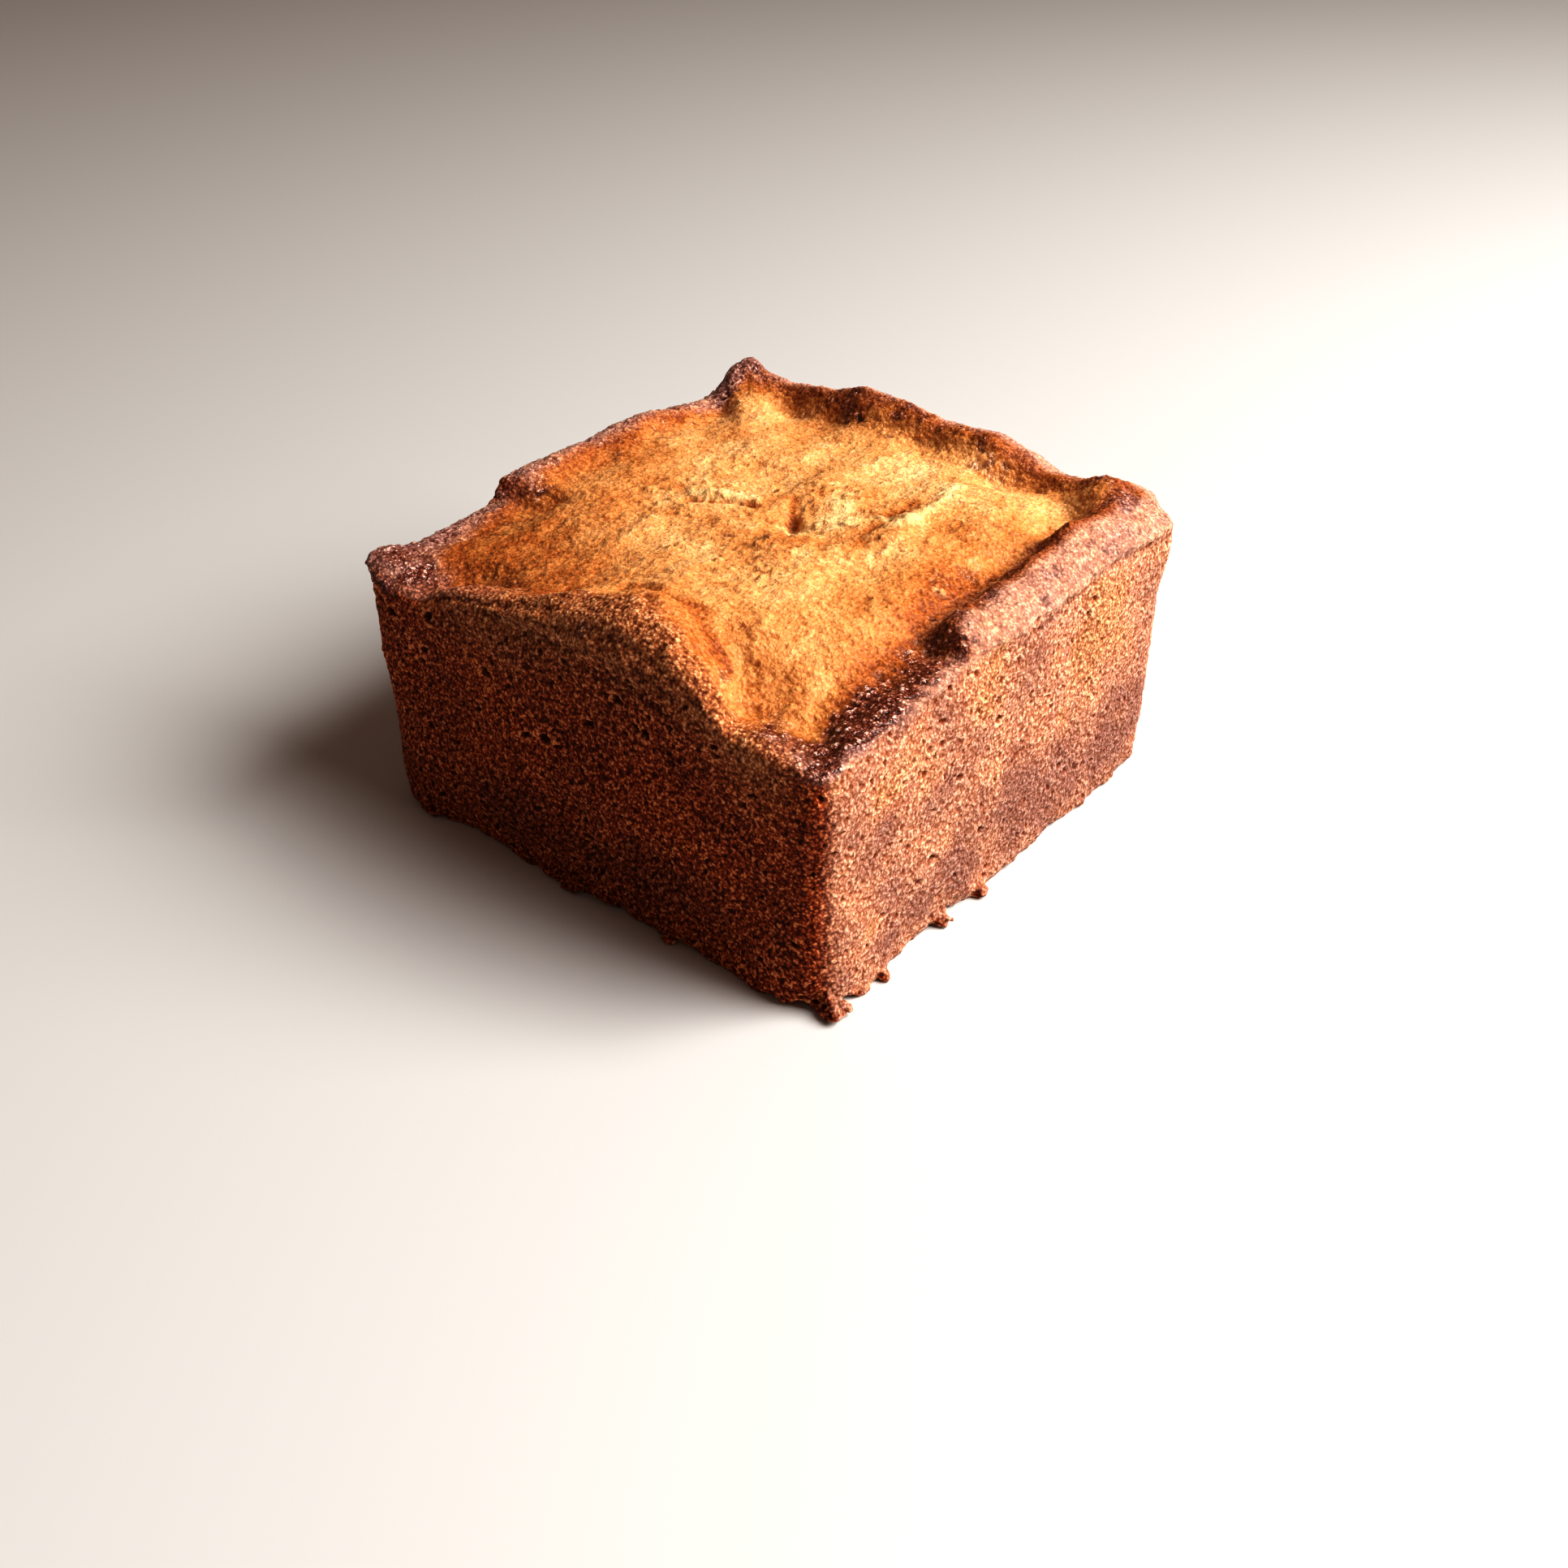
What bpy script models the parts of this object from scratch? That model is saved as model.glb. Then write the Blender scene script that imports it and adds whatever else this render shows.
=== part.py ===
"""A small square ginger cake, baked in its own tin and turned out: one solid piece.

+Z is up and the cake stands on z = 0. Seen from above, its four corners are called front (+X, -Y),
right (+X, +Y), back (-X, +Y) and left (-X, -Y). All sizes are in metres unless a comment says mm.
"""

import math

import bmesh
import bpy
import numpy as np

MM = 0.001

# The tin's shape, which the walls take
EDGE_WIDTH = 92.0 * MM  # across the walls at the height of the tin's edge
BASE_WIDTH = 91.3 * MM  # across the walls at the base
TIN_EDGE = 42.3 * MM  # how high the tin's edge stood on the walls
BASE_ROUND = 0.5 * MM  # how far the base's edge is rounded off
BASE_MARGIN = 4.0 * MM  # how far in from the walls the underside's inner points keep

# How each upright corner is rounded, in mm: at the base, at the tin's edge and on the crust above
# it, how far the crust's corner hangs out past the wall, and how far the base's corner is worn off
CORNERS = {
    "left": (10.0, 7.6, 4.2, -0.2, 3.0),
    "front": (5.5, 3.0, 3.5, 0.2, 2.6),
    "right": (11.0, 5.6, 7.5, -1.2, 0.8),
    "back": (8.5, 6.0, 3.4, -0.2, 0.8),
}
CORNER_FLARE = 2.0  # above 1, a corner keeps its base radius for most of the wall's height

# The crust rim's crest: (turn, height in mm). The turn runs round the rim, one unit a side, from the
# left corner past the front, right and back ones. Between stations the crest swells or sinks smoothly.
CREST = (
    (0.00, 42.2),
    (0.13, 40.0),
    (0.24, 43.2),
    (0.35, 45.4),
    (0.47, 48.3),
    (0.61, 50.7),
    (0.70, 49.6),
    (0.76, 47.2),
    (0.85, 40.2),
    (1.00, 40.0),
    (1.16, 41.6),
    (1.33, 42.4),
    (1.36, 46.2),
    (1.56, 47.2),
    (1.66, 47.6),
    (1.74, 49.0),
    (1.90, 47.6),
    (2.03, 48.3),
    (2.20, 45.3),
    (2.37, 49.0),
    (2.48, 48.7),
    (2.65, 50.2),
    (2.76, 48.0),
    (2.88, 46.4),
    (2.99, 49.4),
    (3.03, 48.2),
    (3.09, 43.8),
    (3.35, 46.0),
    (3.58, 45.4),
    (3.66, 45.6),
    (3.70, 41.6),
    (3.88, 40.8),
    (3.95, 42.4),
)

# The rim's shape: (turn, then in mm: from the wall's plane in to the crest, how far the crust's lower
# edge droops below the crest, how deep the wall is creased under it, how deep the trough inside lies,
# how far below the crest the crust starts to lean in; last, how rounded it leans, from 1, straight)
RIM = (
    (0.00, 1.6, 1.6, 0.3, 0.8, 1.0, 1.8),
    (0.22, 1.6, 1.8, 0.5, 1.0, 1.1, 1.8),
    (0.40, 2.2, 2.6, 1.3, 1.4, 1.8, 1.8),
    (0.50, 3.6, 5.0, 0.3, 1.6, 3.4, 1.9),
    (0.64, 4.6, 7.0, 0.0, 1.8, 5.0, 2.0),
    (0.77, 3.0, 5.0, 0.1, 2.4, 3.4, 1.9),
    (0.87, 1.5, 1.4, 0.4, 1.0, 0.9, 1.6),
    (1.00, 1.5, 1.6, 0.6, 1.0, 1.0, 1.6),
    (1.32, 1.8, 2.0, 0.4, 1.4, 1.2, 1.5),
    (1.37, 3.0, 5.0, 0.4, 4.0, 3.2, 1.3),
    (1.70, 3.4, 6.4, 0.3, 5.0, 4.2, 1.2),
    (1.98, 4.2, 6.2, 0.2, 5.0, 4.4, 1.4),
    (2.14, 3.2, 4.6, 0.3, 3.4, 3.0, 1.4),
    (2.65, 2.8, 5.0, 0.3, 4.6, 3.0, 1.4),
    (2.98, 1.8, 4.0, 0.2, 4.0, 2.2, 1.4),
    (3.12, 2.2, 3.5, 0.3, 1.4, 1.6, 1.6),
    (3.60, 2.4, 3.5, 0.3, 2.0, 1.6, 1.6),
    (3.80, 1.6, 1.8, 0.3, 1.0, 1.0, 1.8),
)
CREST_INSET, DROOP, CREASE, TROUGH, LEAN, ROUNDED = 1, 2, 3, 4, 5, 6  # the columns of RIM
LEAN_SHARE = 0.72  # the crust leans in over this share of its height at most
TROUGH_REACH = 2.6 * MM  # from the crest in to the bottom of the trough
TROUGH_STEEP = 1.1  # 1 drops straight off the crest, above 1 the drop starts gently
MIDDLE_REACH = 7.0 * MM  # from the crest in to where the risen middle alone sets the height
LIP_BULGE = 0.35 * MM  # how far the crust swells out past the wall
CREASE_WIDTH = 1.3 * MM  # how wide the crease under the crust is, up the wall

# The risen middle: its general height, and its swells and hollows as
# (x, y, height, reach along x, reach along y), all in mm
MIDDLE_HEIGHT = 44.4
SWELLS = (
    (14.0, -4.0, 2.4, 30.0, 32.0),  # the broad dome, nearer the front than the back
    (27.0, 20.0, 1.4, 10.0, 10.0),  # the lobe that leans on the right corner
    (12.0, -28.0, 1.8, 14.0, 9.0),  # the shoulder behind the front left rim
    (40.0, -40.0, -5.6, 13.0, 13.0),  # the slope down to the low front corner
    (-13.0, 13.0, -1.1, 4.5, 3.5),  # a small bowl
    (-34.0, -32.0, -2.6, 16.0, 16.0),  # the flat towards the left corner
    (19.0, 9.0, 0.8, 2.4, 13.0),  # a low ridge along the right side
    (23.6, 8.0, -0.6, 2.4, 12.0),  # and the furrow beside it
)
DIP = (4.0, 0.0, -1.2, 6.0, 4.5)  # the hollow where the cracks meet, given like the swells
CRACKS = 5  # creases that run out of the dip
CRACK_DEPTH = 0.6 * MM
CRACK_WIDTH = 1.8 * MM
CRACK_START = 6.0 * MM  # how far from the dip a crack is deepest
CRACK_LENGTH = 7.0 * MM
CRACK_BEND = 0.35  # how far the cracks swing to and fro, in radians

# Unevenness: (height or depth, length from one swell to the next, seed of its waves)
WRINKLE = (0.3 * MM, 7.0 * MM, 21)  # long low wrinkles across the middle
UNEVEN = (0.35 * MM, 17.0 * MM, 9)  # the walls, which stray from flat
RAGGED = (0.45 * MM, 5.0 * MM, 14)  # the base's edge, which strays in and out
LUMPS = (0.4 * MM, 6.5 * MM, 5)  # the crust rim
RAGGED_HEIGHT = 3.5 * MM  # how far up the wall the ragged edge reaches
STRETCH = 0.45  # the wrinkles run longer along y by one over this

# How finely the shape is cut
ACROSS = 48  # cells across each side
UPRIGHT = 14  # cells up each wall
CRUST_CELLS = 4  # of which this many lie on the crust above the tin's edge
EDGE_GATHER = 0.5  # 0 spreads the cuts evenly, towards 1 they gather at the edges
WALL_GATHER = 0.8  # the same for the cuts up a wall, towards the base and the tin's edge
TINY = 1e-6

COLLECTION = "ginger cake"
CRUMB_COLOUR = (0.30, 0.115, 0.035, 1.0)
CRUMB_ROUGHNESS = 0.8


def clear_scene():
    for thing in list(bpy.data.objects):
        bpy.data.objects.remove(thing, do_unlink=True)


def smooth_step(t):
    t = np.clip(t, 0.0, 1.0)
    return t * t * (3.0 - 2.0 * t)


def between_stations(turn, stations, column=1):
    """The value of a column at each turn, eased from one station to the next, all the way round."""
    around = 4.0
    places = np.array([row[0] for row in stations] + [stations[0][0] + around])
    values = np.array([row[column] for row in stations] + [stations[0][column]])
    turn = np.mod(turn - places[0], around) + places[0]
    after = np.clip(np.searchsorted(places, turn, side="right"), 1, len(places) - 1)
    start = places[after - 1]
    way = smooth_step((turn - start) / (places[after] - start))
    return (values[after - 1] * (1.0 - way) + values[after] * way) * MM


def waves(points, unevenness, count=14):
    """Smooth unevenness: a sum of seeded waves of about its length, as high as it says."""
    height, length, seed = unevenness
    draw = np.random.default_rng(seed)
    total = np.zeros(len(points))
    for _ in range(count):
        heading = draw.normal(size=3)
        heading /= np.linalg.norm(heading)
        pitch = 2.0 * math.pi / (length * draw.uniform(0.7, 1.5))
        total += np.sin(points @ heading * pitch + draw.uniform(0.0, 2.0 * math.pi))
    return total * height / math.sqrt(count)


def cut_places(cells):
    """Where a side from -1 to 1 is cut, with the cuts gathered towards both ends."""
    even = np.linspace(-1.0, 1.0, cells + 1)[1:-1]
    return (1.0 - EDGE_GATHER) * even + EDGE_GATHER * np.sin(even * math.pi / 2.0)


def sliced_block():
    """A cube from -1 to 1, sliced through by planes across x, y and z."""
    block = bmesh.new()
    bmesh.ops.create_cube(block, size=2.0)
    slices = [(axis, place) for axis in (0, 1) for place in cut_places(ACROSS)]
    slices += [(2, place) for place in np.linspace(-1.0, 1.0, UPRIGHT + 1)[1:-1]]
    for axis, place in slices:
        normal = [0.0, 0.0, 0.0]
        normal[axis] = 1.0
        point = [place * n for n in normal]
        everything = block.verts[:] + block.edges[:] + block.faces[:]
        bmesh.ops.bisect_plane(block, geom=everything, plane_co=point, plane_no=normal, dist=TINY)
    return block


def ring_of(across, along):
    """0 in the middle of the square and 1 on its edge."""
    return np.maximum(np.maximum(np.abs(across), np.abs(along)), TINY)


def turn_of(across, along):
    """How far round the rim a point lies: 0 at the left corner, 1 front, 2 right, 3 back."""
    ring = ring_of(across, along)
    x, y = across / ring, along / ring
    front_left = (1.0 + x) / 2.0
    front_right = 1.0 + (1.0 + y) / 2.0
    back_right = 2.0 + (1.0 - x) / 2.0
    back_left = 3.0 + (1.0 - y) / 2.0
    on_front_left = (y <= TINY - 1.0) & (x < 1.0)
    on_front_right = (x >= 1.0 - TINY) & (y < 1.0)
    on_back_right = (y >= 1.0 - TINY) & (x > -1.0)
    return np.select(
        [on_front_left, on_front_right, on_back_right],
        [front_left, front_right, back_right],
        back_left,
    )


def corner_values(across, along, column):
    """This column of CORNERS for the corner that each point is nearest."""
    names = {(-1, -1): "left", (1, -1): "front", (1, 1): "right", (-1, 1): "back"}
    found = np.zeros(len(across))
    for (x_side, y_side), name in names.items():
        here = (np.sign(across + TINY) == x_side) & (np.sign(along + TINY) == y_side)
        found[here] = CORNERS[name][column] * MM
    return found


def rounded_square(across, along, half, radius):
    """Sends the square ring through each point to one of this half width with rounded corners."""
    ring = ring_of(across, along)
    x, y = across / ring * half, along / ring * half
    straight = half - radius
    inner_x, inner_y = np.clip(x, -straight, straight), np.clip(y, -straight, straight)
    out_x, out_y = x - inner_x, y - inner_y
    longest = np.maximum(np.abs(out_x), np.abs(out_y))
    pull = longest / np.maximum(np.hypot(out_x, out_y), TINY * MM)
    return (inner_x + out_x * pull) * ring, (inner_y + out_y * pull) * ring


def near_corner(across, along):
    """1 at an upright corner, fading to 0 a tenth of the side away."""
    nearer = np.minimum(np.abs(across), np.abs(along)) / ring_of(across, along)
    return smooth_step((nearer - 0.8) / 0.2)


def crust_edge(turn, crest):
    """The heights of the crust's lower edge and of its outer edge, where its top begins to curl in."""
    lower = np.minimum(TIN_EDGE, crest - between_stations(turn, RIM, DROOP))
    return lower, crest - np.minimum(between_stations(turn, RIM, LEAN), LEAN_SHARE * (crest - lower))


def wall_points(across, along, up, crest):
    """Points on the walls. up runs from 0 at the base to 1 at the crust's outer edge."""
    turn = turn_of(across, along)
    lower, outer = crust_edge(turn, crest)
    wall_share = 1.0 - CRUST_CELLS / UPRIGHT
    on_wall = np.clip(up / wall_share, 0.0, 1.0)
    on_crust = np.clip((up - wall_share) / (1.0 - wall_share), 0.0, 1.0)
    gathered = on_wall - WALL_GATHER * np.sin(2.0 * math.pi * on_wall) / (2.0 * math.pi)
    height = gathered * lower + on_crust * (outer - lower)

    at_base, at_edge, on_lip, hang, worn = (corner_values(across, along, i) for i in range(5))
    at_corner = near_corner(across, along)
    base_round = BASE_ROUND + (worn - BASE_ROUND) * at_corner
    half = BASE_WIDTH / 2.0 + (EDGE_WIDTH - BASE_WIDTH) / 2.0 * np.clip(height / TIN_EDGE, 0.0, 1.0)
    under_round = np.clip(1.0 - height / base_round, 0.0, 1.0)
    half -= base_round * (1.0 - np.sqrt(1.0 - under_round**2))
    half += LIP_BULGE * np.sin(on_crust * math.pi * 0.8)
    half -= between_stations(turn, RIM, CREASE) * np.exp(-(((height - lower) / CREASE_WIDTH) ** 2))

    lip_share = smooth_step(on_crust * 1.5)
    radius = at_base + (at_edge - at_base) * on_wall**CORNER_FLARE + (on_lip - at_edge) * lip_share
    half += hang * at_corner * lip_share
    x, y = rounded_square(across, along, half, radius)
    return np.stack([x, y, height], axis=1)


def swelling(x, y, swell):
    at_x, at_y, rise, reach_x, reach_y = (value * MM for value in swell)
    return rise * np.exp(-(((x - at_x) / reach_x) ** 2) - ((y - at_y) / reach_y) ** 2)


def middle_height(x, y):
    """The risen middle's height, with its swells, cracks and wrinkles."""
    height = MIDDLE_HEIGHT * MM + swelling(x, y, DIP)
    for swell in SWELLS:
        height += swelling(x, y, swell)
    from_dip_x, from_dip_y = x - DIP[0] * MM, y - DIP[1] * MM
    away = np.hypot(from_dip_x, from_dip_y)
    angle = np.arctan2(from_dip_y, from_dip_x) + CRACK_BEND * np.sin(away / (5.0 * MM))
    fade = np.exp(-(((away - CRACK_START) / CRACK_LENGTH) ** 2))
    for crack in range(CRACKS):
        heading = 2.0 * math.pi * (crack + 0.25 * math.sin(3.0 * crack)) / CRACKS
        off = away * np.sin(angle - heading)
        on_this_side = np.cos(angle - heading) > 0.0
        height -= CRACK_DEPTH * fade * on_this_side * np.exp(-((off / CRACK_WIDTH) ** 2))
    flat = np.stack([x, y * STRETCH, 0.0 * x], axis=1)
    return height + waves(flat, WRINKLE)


def top_points(across, along, crest):
    """Points on the top: over the crust's crest, down into the trough and up to the middle."""
    turn = turn_of(across, along)
    ring = ring_of(across, along)
    edge_ring = wall_points(across, along, np.ones(len(across)), crest)
    x, y = edge_ring[:, 0] * ring, edge_ring[:, 1] * ring
    inset = (1.0 - ring) * EDGE_WIDTH / 2.0
    crest_at = between_stations(turn, RIM, CREST_INSET)
    _, outer = crust_edge(turn, crest)
    past_crest = inset - crest_at
    before_crest = np.clip(-past_crest / crest_at, 0.0, 1.0)
    rounded = between_stations(turn, RIM, ROUNDED) / MM
    rim = outer + (crest - outer) * (1.0 - before_crest**rounded) ** (1.0 / rounded)
    to_trough = np.sin(np.clip(past_crest / TROUGH_REACH, 0.0, 1.0) * math.pi / 2.0) ** TROUGH_STEEP
    rim -= between_stations(turn, RIM, TROUGH) * to_trough
    to_middle = smooth_step((past_crest - TROUGH_REACH / 2.0) / (MIDDLE_REACH - TROUGH_REACH / 2.0))
    height = rim * (1.0 - to_middle) + middle_height(x, y) * to_middle
    points = np.stack([x, y, height], axis=1)
    points[:, 2] += waves(points, LUMPS) * (1.0 - to_middle) * smooth_step(inset / crest_at)
    return points


def shape_cake(block):
    """Moves the sliced block's points to the cake's surface."""
    corners = np.array([vert.co[:] for vert in block.verts])
    across, along, up = corners.T
    turn = turn_of(across, along)
    crest = between_stations(turn, CREST)
    on_top = up > 1.0 - TINY
    under = (up < TINY - 1.0) & (ring_of(across, along) < 1.0 - TINY)
    beside = ~on_top & ~under

    points = wall_points(across, along, (up + 1.0) / 2.0, crest)
    points[on_top] = top_points(across[on_top], along[on_top], crest[on_top])
    flat_half = BASE_WIDTH / 2.0 - BASE_MARGIN
    points[under, 0] = across[under] * flat_half
    points[under, 1] = along[under] * flat_half
    points[under, 2] = 0.0

    wall = points[beside]
    outward = wall * np.array([1.0, 1.0, 0.0])
    outward /= np.linalg.norm(outward, axis=1)[:, None]
    lower, _ = crust_edge(turn[beside], crest[beside])
    on_crust = smooth_step((wall[:, 2] - lower) / (2.0 * MM))
    stray = waves(wall, UNEVEN) + waves(wall, LUMPS) * on_crust
    stray += waves(wall, RAGGED) * np.exp(-((wall[:, 2] / RAGGED_HEIGHT) ** 2))
    points[beside] += outward * stray[:, None]

    middle = (points[:, :2].max(axis=0) + points[:, :2].min(axis=0)) / 2.0
    points[:, :2] -= middle
    for vert, point in zip(block.verts, points):
        vert.co = point


def cake_material():
    material = bpy.data.materials.new("baked crumb")
    material.use_nodes = True
    surface = material.node_tree.nodes["Principled BSDF"]
    surface.inputs["Base Color"].default_value = CRUMB_COLOUR
    surface.inputs["Roughness"].default_value = CRUMB_ROUGHNESS
    surface.inputs["Metallic"].default_value = 0.0
    material.diffuse_color = CRUMB_COLOUR
    return material


def make_cake(collection):
    block = sliced_block()
    shape_cake(block)
    bmesh.ops.recalc_face_normals(block, faces=block.faces[:])
    mesh = bpy.data.meshes.new("cake")
    block.to_mesh(mesh)
    block.free()
    mesh.materials.append(cake_material())
    mesh.shade_smooth()
    cake = bpy.data.objects.new("cake", mesh)
    collection.objects.link(cake)
    return cake


clear_scene()
parts = bpy.data.collections.new(COLLECTION)
bpy.context.scene.collection.children.link(parts)
make_cake(parts)
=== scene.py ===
# %% [markdown]
# # A small square ginger cake
#
# The cake was baked alone in a small square tin and turned out. Three skins meet on it: upright walls
# of open crumb where the tin held it, a dark crust rim that climbed over the tin's edge, and a
# golden top that rose and sank a little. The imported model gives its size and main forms. This
# script gives it its crumb: loose crumbs melted into the surface, then relief in the mesh, then colours.

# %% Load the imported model
import itertools
import math

import bmesh
import bpy
import numpy as np
from mathutils import Matrix, Vector
from mathutils.bvhtree import BVHTree


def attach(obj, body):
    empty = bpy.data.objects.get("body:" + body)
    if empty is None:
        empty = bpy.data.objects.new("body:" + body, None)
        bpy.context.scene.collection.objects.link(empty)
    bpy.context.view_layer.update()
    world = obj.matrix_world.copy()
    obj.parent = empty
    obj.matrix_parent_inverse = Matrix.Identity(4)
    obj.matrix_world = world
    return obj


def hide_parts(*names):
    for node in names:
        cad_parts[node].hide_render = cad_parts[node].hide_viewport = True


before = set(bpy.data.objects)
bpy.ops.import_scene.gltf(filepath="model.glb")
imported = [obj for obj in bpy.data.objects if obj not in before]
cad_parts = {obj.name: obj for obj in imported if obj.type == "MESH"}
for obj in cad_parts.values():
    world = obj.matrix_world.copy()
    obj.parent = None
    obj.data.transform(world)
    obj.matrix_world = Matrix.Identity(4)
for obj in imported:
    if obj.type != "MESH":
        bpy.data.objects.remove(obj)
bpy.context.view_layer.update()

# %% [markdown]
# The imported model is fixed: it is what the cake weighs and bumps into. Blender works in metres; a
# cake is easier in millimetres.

MM = 0.001
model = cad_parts["cake"]

# %% [markdown]
# A camera is placed by what it looks at, how far round and how high it stands, and its tilt. These
# numbers are the photograph's own: a phone's wide lens, close to the cake and well above it. Its
# matrix is built from three directions, because a tracking constraint can't hold the small roll.

# %% Set up the camera
VIEW_ROUND, VIEW_UP, VIEW_ROLL = (math.radians(angle) for angle in (39.76, 33.83, -0.5))
LOOKS_AT = Vector((23.2, -26.8, 20.0)) * MM
CAMERA_AWAY = 251.0 * MM
PHOTO_SIDE, FOCAL = 1932, 2150  # in the photograph's pixels
SENSOR = 36.0

backward = Vector(
    (math.sin(VIEW_ROUND) * math.cos(VIEW_UP), -math.cos(VIEW_ROUND) * math.cos(VIEW_UP), math.sin(VIEW_UP))
)
level = Vector((math.cos(VIEW_ROUND), math.sin(VIEW_ROUND), 0.0))
upward = backward.cross(level)
rightward = level * math.cos(VIEW_ROLL) + upward * math.sin(VIEW_ROLL)
upward = upward * math.cos(VIEW_ROLL) - level * math.sin(VIEW_ROLL)

camera = bpy.data.objects.new("camera", bpy.data.cameras.new("camera"))
camera.data.sensor_width = SENSOR
camera.data.lens = SENSOR * FOCAL / PHOTO_SIDE
camera.data.clip_start = 5.0 * MM
camera.matrix_world = Matrix((rightward, upward, backward)).transposed().to_4x4()
camera.matrix_world.translation = LOOKS_AT + backward * CAMERA_AWAY
bpy.context.scene.collection.objects.link(camera)
bpy.context.scene.camera = camera
print("lens, mm:", round(camera.data.lens, 2))

# %% [markdown]
# A window lit the cake from the right, low enough for the rim to shade the trough inside it, and the
# room behind the camera was dim. One large area light and a dark warm world give the same: a broad light
# keeps the shadows' edges soft, and the crumb's relief needs it to come from one side.

# %% Light it from one soft window
WINDOW_TURN, WINDOW_RISE = math.radians(26.0), math.radians(44.0)
WINDOW_AWAY, WINDOW_SIZE, WINDOW_POWER = 0.9, 0.6, 19.0
WINDOW_COLOUR = (1.0, 0.97, 0.93)
ROOM_COLOUR = (1.0, 0.66, 0.5, 1.0)
ROOM_STRENGTH = 0.24

towards_window = Vector(
    (
        math.cos(WINDOW_RISE) * math.cos(WINDOW_TURN),
        math.cos(WINDOW_RISE) * math.sin(WINDOW_TURN),
        math.sin(WINDOW_RISE),
    )
)
window = bpy.data.objects.new("window", bpy.data.lights.new("window", "AREA"))
window.data.shape = "SQUARE"
window.data.size = WINDOW_SIZE
window.data.energy = WINDOW_POWER
window.data.color = WINDOW_COLOUR
window.location = towards_window * WINDOW_AWAY
window.rotation_euler = towards_window.to_track_quat("Z", "Y").to_euler()
bpy.context.scene.collection.objects.link(window)

room = bpy.data.worlds.new("room")
room.use_nodes = True
room.node_tree.nodes["Background"].inputs["Color"].default_value = ROOM_COLOUR
room.node_tree.nodes["Background"].inputs["Strength"].default_value = ROOM_STRENGTH
bpy.context.scene.world = room

# %% [markdown]
# A phone's picture is steeper than plain light: the shade goes deep and the lit crumb stays bright. The
# standard view with its gamma turned down does that to the whole picture at once.

# %% Set the picture's contrast
bpy.context.scene.view_settings.view_transform = "Standard"
bpy.context.scene.view_settings.gamma = 0.65

# %% [markdown]
# The floor only has to be pale, plain and wide enough to fill the frame. It lies a hair below the cake,
# so that the cake's flat base and the floor never fight for the same height.

# %% Lay a plain floor
FLOOR_HALF = 4.0
FLOOR_DROP = 0.05 * MM
floor_mesh = bpy.data.meshes.new("floor")
corners = [(x * FLOOR_HALF, y * FLOOR_HALF, -FLOOR_DROP) for x, y in ((-1, -1), (1, -1), (1, 1), (-1, 1))]
floor_mesh.from_pydata(corners, [], [(0, 1, 2, 3)])
floor = bpy.data.objects.new("floor", floor_mesh)
bpy.context.scene.collection.objects.link(floor)


# %% [markdown]
# Materials are easier to read as sums than as boxes and wires. A `Value` holds one socket, and using
# + - or * on it adds the Math node. Every other node comes from `Finish.node`, which sets the node up
# first and then fills its sockets with numbers or with links.

# %% Write materials as Python
class Value:
    """One output of a material's node, which can be used in sums."""

    def __init__(self, finish, socket):
        self.finish, self.socket = finish, socket

    def maths(self, operation, *terms, clamp=False):
        settings = {"operation": operation, "use_clamp": clamp}
        return self.finish.node("ShaderNodeMath", settings, dict(enumerate(terms)))

    def __add__(self, other):
        return self.maths("ADD", self, other)

    def __sub__(self, other):
        return self.maths("SUBTRACT", self, other)

    def __rsub__(self, other):
        return self.maths("SUBTRACT", other, self)

    def __mul__(self, other):
        return self.maths("MULTIPLY", self, other)

    def clamped(self):
        return self.maths("ADD", self, 0.0, clamp=True)

    __radd__, __rmul__ = __add__, __mul__


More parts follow.
